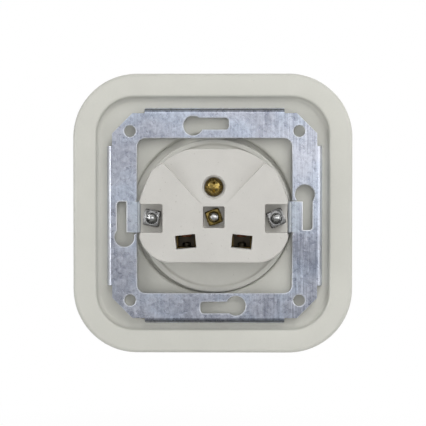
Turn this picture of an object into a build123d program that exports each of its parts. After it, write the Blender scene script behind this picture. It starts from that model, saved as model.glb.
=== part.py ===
from build123d import *
import os

os.makedirs("parts", exist_ok=True)

# A flush wall socket with a ceramic frame. Lengths are in millimetres.
# X is to the right seen from the room, Y goes into the wall, Z is up.
# The origin is the middle of the strap's back face, which lies on the wall.

# Clearances
ceramic_gap = 0.3
screw_gap = 0.2
thread_gap = 0.02
sleeve_gap = 0.05

# Steel mounting strap
strap_size = 71.0
strap_t = 1.0
strap_fold_r = 0.4
flange_length = 46.5
flange_depth = 3.3
corner_cut = 6.7
opening = 51.5
opening_r = 2.8
corner_hole_r = 1.9
corner_hole_pitch = 56.3
key_reach = 30.0
key_offset = 7.1
key_head_r = 3.25
key_slot_w = 3.8
key_slot_end = 4.7
key_slot_out = 0.6
key_slot_r = 1.1
tab_width = 10.4
tab_face = 25.3
tab_drop = 2.3
tab_straight = 0.2
relief_width = 0.25
relief_depth = 2.6
foot_past_screw = 4.3

# Ceramic frame, which hangs loosely round the insert
frame_size = 93.0
frame_corner_r = 20.0
frame_depth = 13.0
frame_front_r = 8.0
frame_back_cut = 0.9
recess_size = 77.4
recess_corner_r = 13.0
recess_edge_cut = 0.8
recess_floor_r = 1.6
frame_hole_gap = 1.3
frame_hole_cut = 0.7
frame_ledge_t = 2.2
frame_ledge_over = 1.8
frame_lift_share = 0.6
frame_side_share = 0.5

# Ceramic insert with the plug well
insert_r = 25.7
rim_width = 2.0
rim_slope = 0.6
rim_height = 0.7
rim_edge_share = 0.5
floor_t = 3.2
well_r = 19.7
well_depth = 17.5
lip_width = 4.2
lip_outer_r = 3.0
lip_inner_cut = 0.9
flange_over = 3.0
flange_edge = 3.0
flange_edge_cut = 0.8
pin_pitch = 19.0
pin_hole_r = 2.75
pin_hole_chamfer = 0.5
guide_width = 4.6
guide_height = 1.3
guide_short = 3.0
clip_slot_width = 9.4
clip_slot_depth = 1.5
clip_slot_short = 2.2

# Steatite terminal block, with its outline as seen from the wall side
block_depth = 20.3
block_half_width = 24.0
block_bottom = 14.7
block_bottom_half = 15.0
block_low_side = 6.6
block_low_bulge = 1.8
block_high_side = 5.4
block_high_bulge = 0.3
shoulder_x = 19.9
shoulder_z = 15.4
ramp_edge_x = 16.4
ramp_edge_z = 17.6
ramp_top_bulge = 0.63
block_top = 22.0
block_top_half = 7.6
block_upright_r = 0.9
block_back_cut = 0.5
ramp_start_half = 3.95
ramp_start_z = 4.05
ramp_drop = 4.6

# Pockets at the back of the block
side_axis_x = 20.2
side_axis_z = -0.4
side_pocket_past = 3.7
side_pocket_width = 9.2
side_pocket_depth = 7.0
side_pocket_r = 0.6
mouth_r = 0.8
centre_pocket_width = 6.9
centre_pocket_depth = 4.5
centre_pocket_r = 0.4
earth_z = 9.7
counterbore_r = 3.65
counterbore_depth = 5.6

# Wire windows and the chambers behind them
window_x = 9.05
window_z = -7.9
window_width = 6.5
window_height = 4.4
window_tilt = 5.75
chamber_depth = 13.3
chamber_side = 0.6
pin_room_r = 2.9
pin_length = 19.0
pin_end_room = 0.9

# Strap screws and their square nuts
strap_screw_r = 1.5
strap_head_r = 2.7
strap_head_t = 1.6
screw_end_past = 0.9
side_nut_width = 5.5
side_nut_t = 2.4
nut_edge_chamfer = 0.35
right_nut_turn = 10.0
left_nut_turn = -22.0

# Centre screw and nut
centre_screw_r = 1.5
centre_head_r = 2.9
centre_head_t = 2.0
centre_nut_width = 5.0
centre_nut_t = 2.2
centre_nut_turn = -20.0

# Earth contact, link and terminal
earth_strip_t = 0.8
earth_strip_width = 7.0
earth_strip_bend_r = 0.5
clip_gap = 0.7
clip_length = 14.2
clip_spring_in = 2.1
clip_tip_in = 0.9
clip_knee_share = 0.3
clip_crest_share = 0.72
clip_knee_r = 4.0
clip_crest_r = 1.6
link_t = 1.2
link_width = 6.0
link_corner_r = 1.2
link_end_past = 3.6
earth_pillar_r = 3.0
earth_pillar_height = 6.0
earth_screw_r = 2.0
earth_head_r = 2.85
earth_head_t = 2.2
earth_screw_length = 12.0
earth_washer_r = 2.95
earth_washer_t = 0.8

# Line and neutral contacts
sleeve_r = 2.35
sleeve_t = 0.7
sleeve_length = 8.6
sleeve_setback = 0.5
sleeve_slit = 1.2
tail_t = 0.8
tail_neck_length = 3.8
tail_width = 3.0
neck_width = 3.0
spring_t = 0.5
spring_width = 2.6
spring_place = 5.2
spring_opening = 3.4
cage_width = 7.2
cage_wall = 0.9
cage_corner_r = 0.6
cage_room = 4.1
cage_length = 7.6
cage_front = 5.0
clamp_screw_r = 1.5
clamp_head_r = 2.3
clamp_head_t = 1.7
clamp_screw_in = 1.5
clamp_neck = 0.5

# Screw drives and ends
slot_width = 0.8
slot_depth_share = 0.5
cross_length_share = 1.3
head_edge_share = 0.35
shank_end_share = 0.25

# How far a cutting body runs past what it cuts
cut_past = 1.0

# Depths that follow from the sizes above
seat_y = -tab_drop - strap_t
well_floor_y = seat_y - floor_t
front_y = well_floor_y - well_depth
block_back_y = seat_y + block_depth
side_floor_y = block_back_y - side_pocket_depth
centre_floor_y = block_back_y - centre_pocket_depth
earth_floor_y = block_back_y - counterbore_depth
chamber_back_y = seat_y + chamber_depth
clip_stand = well_r - clip_gap - earth_strip_t / 2
tail_top_z = window_z + cage_room / 2
rim_cut = rim_height * rim_edge_share
rim_foot_r = insert_r - rim_width - rim_slope
ledge_front_y = -flange_depth - frame_ledge_t
shoulder_r = insert_r + frame_hole_gap + frame_ledge_over


def slab(outline, front, back):
    """Extrude an outline drawn in X and Z between two depths."""
    return extrude(Plane.XZ.offset(-back) * outline, amount=back - front)


def side_slab(outline, half_width):
    """Extrude an outline drawn in Y and Z to both sides of the middle."""
    return extrude(Plane.YZ * outline, amount=half_width, both=True)


def top_slab(outline, bottom, top):
    """Extrude an outline drawn in X and Y between two heights."""
    return extrude(Plane.XY.offset(bottom) * outline, amount=top - bottom)


def rounded_outline(corners):
    """Close a polygon given as (first, second, corner radius)."""
    points = [(a, b) for a, b, r in corners]
    radii = [r for a, b, r in corners]
    return make_face(FilletPolyline(*points, radius=radii, close=True))


def mirrored(shape):
    """The left-hand twin of a right-hand piece."""
    return mirror(shape, about=Plane.YZ)


def screw(head_r, head_t, shank_r, length, crossed=False):
    """A pan-head screw on Z, with its head below zero and its shank above."""
    head = Pos(0, 0, -head_t / 2) * Cylinder(head_r, head_t)
    head = chamfer(head.edges().sort_by(Axis.Z)[0], head_t * head_edge_share)
    slot_depth = head_t * slot_depth_share
    slot = Pos(0, 0, -head_t + slot_depth / 2) * Box(2 * head_r, slot_width, slot_depth)
    cross_length = cross_length_share * head_r
    if crossed:
        slot += Pos(0, 0, -head_t + slot_depth / 2) * Box(head_r, slot_width, slot_depth)
        slot += Pos(0, 0, -head_t + slot_depth) * Rot(Z=90) * Box(cross_length, slot_width, 2 * slot_depth)
    shank = Pos(0, 0, length / 2) * Cylinder(shank_r, length)
    shank = chamfer(shank.edges().sort_by(Axis.Z)[-1], shank_r * shank_end_share)
    return head - slot + shank


def square_nut(width, thickness, bore_r, turn):
    """A square nut round the Y axis, from zero to its thickness."""
    body = slab(Rot(Z=turn) * Rectangle(width, width), 0, thickness)
    body = chamfer(body.faces().sort_by(Axis.Y)[-1].edges(), nut_edge_chamfer)
    return body - slab(Circle(bore_r), 0, thickness)


def make_strap():
    half = strap_size / 2
    plate_size = strap_size - 2 * strap_t - 2 * strap_fold_r
    plate = slab(Rectangle(plate_size, plate_size), -strap_t, 0)
    plate = chamfer(plate.edges().filter_by(Axis.Y), corner_cut)
    fold = rounded_outline([
        (plate_size / 2 - strap_t, 0, 0),
        (half, 0, strap_fold_r + strap_t),
        (half, -flange_depth, 0),
        (half - strap_t, -flange_depth, 0),
        (half - strap_t, -strap_t, strap_fold_r),
        (plate_size / 2 - strap_t, -strap_t, 0),
    ])
    flange = top_slab(fold, -flange_length / 2, flange_length / 2)
    slot_mid = (key_offset - key_slot_end) / 2
    keyhole = Pos(key_offset, key_reach) * Circle(key_head_r)
    slot = RectangleRounded(key_offset + key_slot_end, key_slot_w, key_slot_r)
    keyhole += Pos(slot_mid, key_reach + key_slot_out) * slot
    keyhole_cut = slab(keyhole, -strap_t, 0)
    for quarter in range(4):
        plate += Rot(Y=90 * quarter) * flange
        plate -= Rot(Y=90 * quarter) * keyhole_cut
    window = RectangleRounded(opening, opening, opening_r)
    plate -= slab(window, -strap_t, 0)
    for place in GridLocations(corner_hole_pitch, corner_hole_pitch, 2, 2):
        plate -= slab(place * Circle(corner_hole_r), -strap_t, 0)
    notch_x = opening / 2 + relief_depth
    notch = Rectangle(2 * notch_x, tab_width + 2 * relief_width)
    plate -= slab(Pos(0, side_axis_z) * notch, -strap_t, 0)
    bend_r = (tab_drop - strap_t - tab_straight) / 2
    foot_x = side_axis_x - foot_past_screw
    joggle = rounded_outline([
        (notch_x + strap_t, 0, 0),
        (tab_face, 0, bend_r + strap_t),
        (tab_face, -tab_drop, bend_r),
        (foot_x, -tab_drop, 0),
        (foot_x, seat_y, 0),
        (tab_face + strap_t, seat_y, bend_r + strap_t),
        (tab_face + strap_t, -strap_t, bend_r),
        (notch_x + strap_t, -strap_t, 0),
    ])
    tab = top_slab(joggle, side_axis_z - tab_width / 2, side_axis_z + tab_width / 2)
    hole = slab(Pos(side_axis_x, side_axis_z) * Circle(strap_screw_r + screw_gap), seat_y, -tab_drop)
    tab -= hole
    return plate + tab + mirrored(tab)


def make_frame():
    frame = slab(RectangleRounded(frame_size, frame_size, frame_corner_r), -frame_depth, 0)
    frame = fillet(frame.faces().sort_by(Axis.Y)[0].edges(), frame_front_r)
    frame = chamfer(frame.faces().sort_by(Axis.Y)[-1].edges(), frame_back_cut)
    recess = slab(RectangleRounded(recess_size, recess_size, recess_corner_r), -flange_depth, 0)
    recess = fillet(recess.faces().sort_by(Axis.Y)[0].edges(), recess_floor_r)
    frame -= recess
    frame = chamfer(rim_edges(frame), recess_edge_cut)
    hole_r = insert_r + frame_hole_gap
    frame -= slab(Circle(hole_r), -frame_depth, -flange_depth)
    frame -= slab(Circle(shoulder_r + frame_hole_gap), -frame_depth, ledge_front_y)
    mouth = Cone(hole_r, hole_r + frame_hole_cut, frame_hole_cut)
    frame -= Pos(0, -flange_depth - frame_hole_cut / 2, 0) * Rot(X=-90) * mouth
    return Pos(frame_side_share * frame_hole_gap, 0, frame_lift_share * frame_hole_gap) * frame


def rim_edges(frame):
    """The inner edges of the frame's back rim, round the mouth of its recess."""
    reach = recess_size / 2 + frame_back_cut / 2
    edges = frame.faces().sort_by(Axis.Y)[-1].edges()
    return [e for e in edges if abs(e.center().X) < reach and abs(e.center().Z) < reach]


def make_insert():
    rim_x = insert_r - rim_width
    flange_r = shoulder_r + frame_hole_gap + flange_over
    shoulder_y = ledge_front_y - ceramic_gap
    profile = rounded_outline([
        (0, seat_y, 0),
        (rim_foot_r, seat_y, 0),
        (rim_x, seat_y + rim_height - rim_cut, 0),
        (rim_x + rim_cut, seat_y + rim_height, 0),
        (insert_r - rim_cut, seat_y + rim_height, 0),
        (insert_r, seat_y + rim_height - rim_cut, 0),
        (insert_r, shoulder_y, 0),
        (shoulder_r, shoulder_y, 0),
        (shoulder_r, -frame_depth, 0),
        (flange_r, -frame_depth, 0),
        (flange_r, -frame_depth - flange_edge + flange_edge_cut, 0),
        (flange_r - flange_edge_cut, -frame_depth - flange_edge, 0),
        (well_r + lip_width, front_y, lip_outer_r),
        (well_r + lip_inner_cut, front_y, 0),
        (well_r, front_y + lip_inner_cut, 0),
        (well_r, well_floor_y, 0),
        (0, well_floor_y, 0),
    ])
    insert = revolve(profile, Axis.Y)
    guide_x = well_r - guide_height
    guide = Rectangle(2 * guide_height, guide_width)
    for side in (-1, 1):
        place = Pos(side * (guide_x + guide_height), 0)
        insert += slab(place * guide, front_y + guide_short, well_floor_y)
    slot_z = well_r + clip_slot_depth
    slot = Rectangle(clip_slot_width, 2 * slot_z) - Circle(well_r - ceramic_gap)
    insert -= slab(slot, front_y + clip_slot_short, well_floor_y)
    notch_width = tab_width + 2 * ceramic_gap
    notch = Pos(0, side_axis_z) * Rectangle(2 * insert_r + cut_past, notch_width)
    insert -= slab(notch, seat_y, seat_y + rim_height)
    insert -= slab(Circle(centre_screw_r + screw_gap), well_floor_y, seat_y)
    for side in (-1, 1):
        pin = Pos(side * pin_pitch / 2, 0)
        insert -= slab(pin * Circle(pin_hole_r), well_floor_y, seat_y)
        mouth = Cone(pin_hole_r, pin_hole_r + pin_hole_chamfer, pin_hole_chamfer)
        mouth = Pos(0, -pin_hole_chamfer / 2, 0) * Rot(X=90) * mouth
        insert -= Pos(side * pin_pitch / 2, well_floor_y + pin_hole_chamfer, 0) * mouth
        head = Pos(side * side_axis_x, side_axis_z) * Circle(strap_head_r + 2 * ceramic_gap)
        insert -= slab(head, seat_y - strap_head_t - ceramic_gap, seat_y)
    return insert


def block_outline():
    """The block's outline: a disc cut flat below, with a stepped top."""
    points = [
        (0, -block_bottom),
        (block_bottom_half, -block_bottom),
        (block_half_width, -block_low_side),
        (block_half_width, block_high_side),
        (shoulder_x, shoulder_z),
        (ramp_edge_x, ramp_edge_z),
        (block_top_half, block_top),
        (0, block_top),
    ]
    bulges = [0, block_low_bulge, 0, block_high_bulge, 0, ramp_top_bulge, 0]
    edges = []
    for start, end, bulge in zip(points, points[1:], bulges):
        if bulge:
            edges += [SagittaArc(start, end, -bulge)]
        else:
            edges += [Line(start, end)]
    half = Curve() + edges
    return make_face(half + mirror(half, about=Plane.YZ))


def earth_ramp():
    """The funnel that leads the earth wire down to its screw."""
    rise = (ramp_edge_z - ramp_start_z) / (ramp_edge_x - ramp_start_half)
    reach = block_top - ramp_start_z + cut_past
    wide = ramp_start_half + reach / rise
    plan = make_face(Polyline(
        (-ramp_start_half, ramp_start_z),
        (ramp_start_half, ramp_start_z),
        (wide, ramp_start_z + reach),
        (-wide, ramp_start_z + reach),
        close=True,
    ))
    drop = ramp_drop * reach / (block_top - ramp_start_z)
    side = make_face(Polyline(
        (block_back_y, ramp_start_z),
        (block_back_y - drop, ramp_start_z + reach),
        (block_back_y + cut_past, ramp_start_z + reach),
        (block_back_y + cut_past, ramp_start_z),
        close=True,
    ))
    return slab(plan, seat_y, block_back_y + cut_past) & side_slab(side, wide)


def chamber():
    """The room for the right contact, with its terminal and clamp screw."""
    half = cage_width / 2 + chamber_side
    bottom = tail_top_z - cage_room - cage_wall - ceramic_gap
    top = sleeve_r + sleeve_t + spring_t + chamber_side
    wide = Pos(window_x, (bottom + top) / 2) * Rectangle(2 * half, top - bottom)
    wide += Pos(pin_pitch / 2, 0) * Circle(top)
    room = slab(wide, seat_y, chamber_back_y)
    pin_end_y = well_floor_y + pin_length + pin_end_room
    room += slab(Pos(pin_pitch / 2, 0) * Circle(pin_room_r), seat_y, pin_end_y)
    window = Pos(window_x, window_z) * Rot(Z=-window_tilt) * Rectangle(window_width, window_height)
    room += slab(window, chamber_back_y, block_back_y)
    access = Pos(window_x, cage_mid_y()) * Circle(clamp_head_r + ceramic_gap)
    room += top_slab(access, -block_bottom, bottom + ceramic_gap)
    return room


def side_pocket_outline():
    """The right nut pocket, open at the block's side with rounded lips."""
    pocket_x = side_axis_x - side_pocket_past
    half = side_pocket_width / 2
    low = side_axis_z - half
    high = side_axis_z + half
    past = mouth_r + cut_past
    return rounded_outline([
        (pocket_x, low, side_pocket_r),
        (block_half_width, low, mouth_r),
        (block_half_width, low - past, 0),
        (block_half_width + past, low - past, 0),
        (block_half_width + past, high + past, 0),
        (block_half_width, high + past, 0),
        (block_half_width, high, mouth_r),
        (pocket_x, high, side_pocket_r),
    ])


def cage_mid_y():
    return seat_y + cage_front + cage_length / 2


def make_block():
    block = slab(block_outline(), seat_y, block_back_y)
    block = fillet(block.edges().filter_by(Axis.Y), block_upright_r)
    block = chamfer(block.faces().sort_by(Axis.Y)[-1].edges(), block_back_cut)
    block -= earth_ramp()
    outside_width = 2 * (block_half_width + cut_past)
    outside = Rectangle(outside_width, outside_width)
    outside -= Circle(rim_foot_r - ceramic_gap)
    block -= slab(outside, seat_y, seat_y + rim_height + ceramic_gap)
    pocket_cut = slab(side_pocket_outline(), side_floor_y, block_back_y)
    foot_x = side_axis_x - foot_past_screw - ceramic_gap
    foot_length = block_half_width - foot_x + cut_past
    foot = Pos(foot_x + foot_length / 2, side_axis_z) * Rectangle(foot_length, tab_width + 2 * ceramic_gap)
    hole = Pos(side_axis_x, side_axis_z) * Circle(strap_screw_r + screw_gap)
    right = pocket_cut + slab(foot, seat_y, -tab_drop) + slab(hole, -tab_drop, side_floor_y) + chamber()
    block -= right
    block -= mirrored(right)
    nut_pocket = RectangleRounded(centre_pocket_width, centre_pocket_width, centre_pocket_r)
    block -= slab(nut_pocket, centre_floor_y, block_back_y)
    block -= slab(Circle(centre_screw_r + screw_gap), seat_y, centre_floor_y)
    counterbore = Pos(0, earth_z) * Circle(counterbore_r)
    block -= slab(counterbore, earth_floor_y, block_back_y)
    block -= slab(Pos(0, earth_z) * Circle(earth_screw_r + screw_gap), seat_y, earth_floor_y)
    pillar_room = Circle(earth_pillar_r + ceramic_gap)
    block -= slab(Pos(0, earth_z) * pillar_room, seat_y, seat_y + link_t + earth_pillar_height + ceramic_gap)
    block -= slab(link_outline(ceramic_gap), seat_y, seat_y + link_t)
    return block


def link_outline(gap):
    """The earth link, from below the centre screw to past the earth screw."""
    low = -link_end_past - gap
    high = earth_z + link_end_past + gap
    strip = Rectangle(link_width + 2 * gap, high - low)
    return Pos(0, (low + high) / 2) * strip


def make_earth_link():
    link = slab(link_outline(0), seat_y, seat_y + link_t)
    link = fillet(link.edges().filter_by(Axis.Y), link_corner_r)
    top = seat_y + link_t + earth_pillar_height
    link += slab(Pos(0, earth_z) * Circle(earth_pillar_r), seat_y, top)
    link -= slab(Pos(0, earth_z) * Circle(earth_screw_r + thread_gap), seat_y, top)
    link -= slab(Circle(centre_screw_r + thread_gap), seat_y, seat_y + link_t)
    return link


def make_earth_bracket():
    """A spring strip across the well with a clip standing up at each end."""
    mid_y = well_floor_y - earth_strip_t / 2
    half = earth_strip_t / 2
    knee_y = mid_y - clip_length * clip_knee_share
    crest_y = mid_y - clip_length * clip_crest_share
    tip_y = mid_y - clip_length
    base_r = earth_strip_bend_r
    outer = [
        (mid_y + half, clip_stand + half, base_r + earth_strip_t),
        (knee_y, clip_stand + half, clip_knee_r),
        (crest_y, clip_stand - clip_spring_in + half, clip_crest_r),
        (tip_y, clip_stand - clip_tip_in + half, 0),
    ]
    inner = [
        (tip_y, clip_stand - clip_tip_in - half, 0),
        (crest_y, clip_stand - clip_spring_in - half, clip_crest_r + earth_strip_t),
        (knee_y, clip_stand - half, clip_knee_r),
        (mid_y - half, clip_stand - half, base_r),
    ]
    top = outer + inner
    bottom = [(y, -z, r) for y, z, r in reversed(top)]
    strip = side_slab(rounded_outline(top + bottom), earth_strip_width / 2)
    hole = Circle(centre_screw_r + screw_gap)
    return strip - slab(hole, well_floor_y - earth_strip_t, well_floor_y)


def make_contact():
    """The right contact: a slit sleeve for the pin and a tail for the wire."""
    front = seat_y + sleeve_setback
    back = front + sleeve_length
    outer_r = sleeve_r + sleeve_t
    ring = Circle(outer_r) - Circle(sleeve_r)
    ring -= Pos(0, outer_r) * Rectangle(sleeve_slit, 2 * outer_r - sleeve_t)
    contact = slab(Pos(pin_pitch / 2, 0) * ring, front, back)
    neck_top = -sleeve_r - sleeve_t / 2
    neck_bottom = tail_top_z - tail_t
    neck = Pos(window_x, (neck_top + neck_bottom) / 2) * Rectangle(neck_width, neck_top - neck_bottom)
    neck_end = front + tail_neck_length
    contact += slab(neck, front, neck_end) - slab(Pos(pin_pitch / 2, 0) * Circle(sleeve_r), front, back)
    tail = Pos(window_x, tail_top_z - tail_t / 2) * Rectangle(tail_width, tail_t)
    tail_end = seat_y + cage_front + cage_length
    contact += slab(tail, front, tail_end)
    return contact


def make_spring():
    """The right wire spring, which presses the sleeve on the pin."""
    inner_r = sleeve_r + sleeve_t + sleeve_gap
    ring = Circle(inner_r + spring_t) - Circle(inner_r)
    opening_down = Pos(0, -inner_r) * Rectangle(spring_opening, 2 * inner_r)
    front = seat_y + spring_place
    return slab(Pos(pin_pitch / 2, 0) * (ring - opening_down), front, front + spring_width)


def make_cage():
    """The right terminal: a brass cage round the tail and the wire."""
    top = tail_top_z + cage_wall
    bottom = tail_top_z - cage_room - cage_wall
    outer = Pos(window_x, (top + bottom) / 2) * RectangleRounded(cage_width, top - bottom, cage_corner_r)
    inner = Pos(window_x, tail_top_z - cage_room / 2) * Rectangle(cage_width - 2 * cage_wall, cage_room)
    front = seat_y + cage_front
    cage = slab(outer - inner, front, front + cage_length)
    thread = Pos(window_x, cage_mid_y()) * Circle(clamp_screw_r + thread_gap)
    return cage - top_slab(thread, bottom, bottom + cage_wall)


def make_clamp_screw():
    """The right clamp screw, which comes up from below into the cage."""
    under_head = tail_top_z - cage_room - cage_wall - clamp_neck
    length = clamp_neck + cage_wall + clamp_screw_in
    body = screw(clamp_head_r, clamp_head_t, clamp_screw_r, length)
    return Pos(window_x, cage_mid_y(), under_head) * body


def make_strap_screw():
    """The right strap screw, from the foot of the strap into its nut."""
    length = side_floor_y + side_nut_t + screw_end_past - seat_y
    body = screw(strap_head_r, strap_head_t, strap_screw_r, length)
    return Pos(side_axis_x, seat_y, side_axis_z) * Rot(X=-90) * body


def make_centre_screw():
    under_head = well_floor_y - earth_strip_t
    length = centre_floor_y + centre_nut_t + screw_end_past - under_head
    body = screw(centre_head_r, centre_head_t, centre_screw_r, length)
    return Pos(0, under_head, 0) * Rot(X=-90) * body


def make_earth_screw():
    under_head = earth_floor_y + earth_washer_t
    body = screw(earth_head_r, earth_head_t, earth_screw_r, earth_screw_length, crossed=True)
    return Pos(0, under_head, earth_z) * Rot(X=90) * body


def make_earth_washer():
    ring = Circle(earth_washer_r) - Circle(earth_screw_r + screw_gap)
    return slab(Pos(0, earth_z) * ring, earth_floor_y, earth_floor_y + earth_washer_t)


def side_nut(side, turn):
    nut = square_nut(side_nut_width, side_nut_t, strap_screw_r + thread_gap, turn)
    return Pos(side * side_axis_x, side_floor_y, side_axis_z) * nut


contact = make_contact()
spring = make_spring()
cage = make_cage()
clamp_screw = make_clamp_screw()
strap_screw = make_strap_screw()
centre_nut = square_nut(centre_nut_width, centre_nut_t, centre_screw_r + thread_gap, centre_nut_turn)

parts = {
    "cover_frame": make_frame(),
    "socket_insert": make_insert(),
    "mounting_strap": make_strap(),
    "terminal_block": make_block(),
    "centre_screw": make_centre_screw(),
    "centre_nut": Pos(0, centre_floor_y, 0) * centre_nut,
    "strap_screw_right": strap_screw,
    "strap_screw_left": mirrored(strap_screw),
    "strap_nut_right": side_nut(1, right_nut_turn),
    "strap_nut_left": side_nut(-1, left_nut_turn),
    "earth_bracket": make_earth_bracket(),
    "earth_link": make_earth_link(),
    "earth_screw": make_earth_screw(),
    "earth_washer": make_earth_washer(),
    "contact_right": contact,
    "contact_left": mirrored(contact),
    "contact_spring_right": spring,
    "contact_spring_left": mirrored(spring),
    "terminal_cage_right": cage,
    "terminal_cage_left": mirrored(cage),
    "clamp_screw_right": clamp_screw,
    "clamp_screw_left": mirrored(clamp_screw),
}

for name, shape in parts.items():
    export_step(shape, "parts/" + name + ".step")
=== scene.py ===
"""Dresses an earthed wall socket with a ceramic frame, seen from its wall side.

Each operator makes one piece or group of pieces, or the stage around them, from
the sizes, colours and stage settings in three property groups. Run as a script,
the file makes them all.
"""
import math

import bmesh
import bpy
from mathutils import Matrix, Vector


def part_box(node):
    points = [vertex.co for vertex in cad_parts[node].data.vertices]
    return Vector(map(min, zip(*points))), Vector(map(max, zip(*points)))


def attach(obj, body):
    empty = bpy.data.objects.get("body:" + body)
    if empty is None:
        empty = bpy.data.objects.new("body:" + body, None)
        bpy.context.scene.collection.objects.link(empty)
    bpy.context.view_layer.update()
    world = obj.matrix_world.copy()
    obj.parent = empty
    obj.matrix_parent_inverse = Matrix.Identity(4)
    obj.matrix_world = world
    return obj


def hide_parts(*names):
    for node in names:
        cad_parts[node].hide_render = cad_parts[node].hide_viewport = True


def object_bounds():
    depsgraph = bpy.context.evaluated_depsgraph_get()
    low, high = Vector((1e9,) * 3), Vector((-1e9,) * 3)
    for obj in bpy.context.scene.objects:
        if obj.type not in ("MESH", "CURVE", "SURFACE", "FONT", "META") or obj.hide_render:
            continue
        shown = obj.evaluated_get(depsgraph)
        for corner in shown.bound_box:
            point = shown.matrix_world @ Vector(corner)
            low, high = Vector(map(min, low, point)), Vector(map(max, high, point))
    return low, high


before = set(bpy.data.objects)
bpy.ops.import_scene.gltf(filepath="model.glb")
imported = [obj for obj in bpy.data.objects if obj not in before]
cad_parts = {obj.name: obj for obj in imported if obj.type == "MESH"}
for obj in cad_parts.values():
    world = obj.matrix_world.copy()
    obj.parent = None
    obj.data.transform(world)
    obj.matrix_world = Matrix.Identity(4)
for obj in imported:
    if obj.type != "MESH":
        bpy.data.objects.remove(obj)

CAD_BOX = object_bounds()
BODY = "root"
# face attribute for worn edges, and for painted highlights on the strap's bends
WEAR_HIGHLIGHT = "worn_edge"
MM = 0.001

# Measures of the construction, by which vertices are picked out
OPENING_HALF = 25.75 * MM             # from the strap's middle to its opening's edge
TAB_HALF = 5.2 * MM                   # half the width of the strap's tabs
TAB_FACE = 25.3 * MM                  # from the strap's middle to the upright of a tab
CUT_END = OPENING_HALF + 2.6 * MM     # how far out the cuts beside the tabs end
FOLD_RADIUS = 1.4 * MM                # outside of the flanges' folds
FOLD_REACH = 2.0 * MM                 # how far in from the strap's sides the folds count
BORE_RADIUS = 3.65 * MM               # counterbore of the earth screw

# Edges that turn by fewer degrees than this stay as they are
SHARP_FROM = 34.0

bl_info = {
    "name": "Ceramic wall socket",
    "version": (1, 0, 0),
    "blender": (4, 5, 0),
    "location": "View3D > Sidebar > Socket",
    "description": "Makes the visible pieces of an earthed ceramic wall socket",
    "category": "Object",
}


# Settings

def length(name, description, default, low=0.0):
    """A length property in metres."""
    return bpy.props.FloatProperty(
        name=name, description=description, default=default, min=low,
        subtype="DISTANCE", unit="LENGTH", precision=5)


def colour(name, description, default):
    """A linear colour property."""
    return bpy.props.FloatVectorProperty(
        name=name, description=description, default=default, size=3,
        min=0.0, max=1.0, subtype="COLOR")


def factor(name, description, default, high=1.0):
    """A plain number from zero up."""
    return bpy.props.FloatProperty(
        name=name, description=description, default=default, min=0.0, max=high)


class SocketSizes(bpy.types.PropertyGroup):
    """Sizes of what the construction leaves to the surface work."""
    ceramic_edge: length("Ceramic edge", "Rounding of the insert's edges", 0.2 * MM)
    sheet_edge: length("Sheet edge", "Rounding round the strap's punched holes", 0.34 * MM)
    fold_edge_share: factor("Fold edge share", "Rounding of the strap's other edges, as a share", 0.35)
    metal_edge: length("Metal edge", "Rounding on screws and contacts", 0.07 * MM)
    nut_corner: length("Nut corner", "Rounding of the square nuts' corners", 1.6 * MM)
    nut_edge_share: factor("Nut edge share", "Rounding of the nuts' other edges, as a share", 0.10)
    bore_mouth: length("Bore mouth", "Rounding where the earth screw sinks in", 0.5 * MM)
    block_edge_share: factor("Block edge share", "Rounding of the block's other edges, as a share", 0.4)
    relief_depth: length("Relief depth", "How far the tabs' side cuts run into the strap", 1.2 * MM)
    tab_move: length("Tab move", "How much closer to the block the tabs bend down", 0.9 * MM)
    frame_front_round: length("Front rounding", "Radius of the frame's front edge", 8.0 * MM)
    frame_back_round: length("Back rounding", "Radius of the rim's outer edge", 1.4 * MM)
    rim_inner_round: length("Rim rounding", "Radius of the rim's inner edge", 0.9 * MM)
    recess_gap: length("Recess gap", "Room between the strap and the recess wall", 3.2 * MM)
    recess_corner: length("Recess corner", "Radius of the recess's corners", 12.6 * MM)
    outline_corner: length("Outline corner", "Radius of the frame's corners", 21.3 * MM)
    hidden_step: length("Hidden step", "How far the insert's flange covers the frame", 3.0 * MM)
    ledge_reach: length("Ledge reach", "How far the ledge stands into the hole", 3.3 * MM)
    ledge_thickness: length("Ledge thickness", "Thickness of the ledge round the hole", 2.2 * MM)
    hole_round: length("Hole rounding", "Radius of the hole's edge", 1.0 * MM)
    recess_floor_round: length("Floor rounding", "Radius at the foot of the recess", 1.6 * MM)
    thread_pitch: length("Thread pitch", "Rise of the screw threads in one turn", 0.5 * MM)
    thread_depth: length("Thread depth", "Height of the thread on its core", 0.24 * MM)
    ring_width: length("Ring width", "Width of the step that shows round the earth screw", 0.45 * MM)
    ring_drop: length("Ring drop", "How far that step lies below the screw's top", 0.9 * MM)
    flange_flare: bpy.props.FloatProperty(
        name="Flange flare", description="How far the strap's flanges lean outwards",
        default=math.radians(14.0), min=0.0, max=math.radians(45.0), subtype="ANGLE", unit="ROTATION")
    frame_points: bpy.props.IntProperty(
        name="Frame points", description="Points round each loop of the frame",
        default=288, min=48, max=720)


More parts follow.
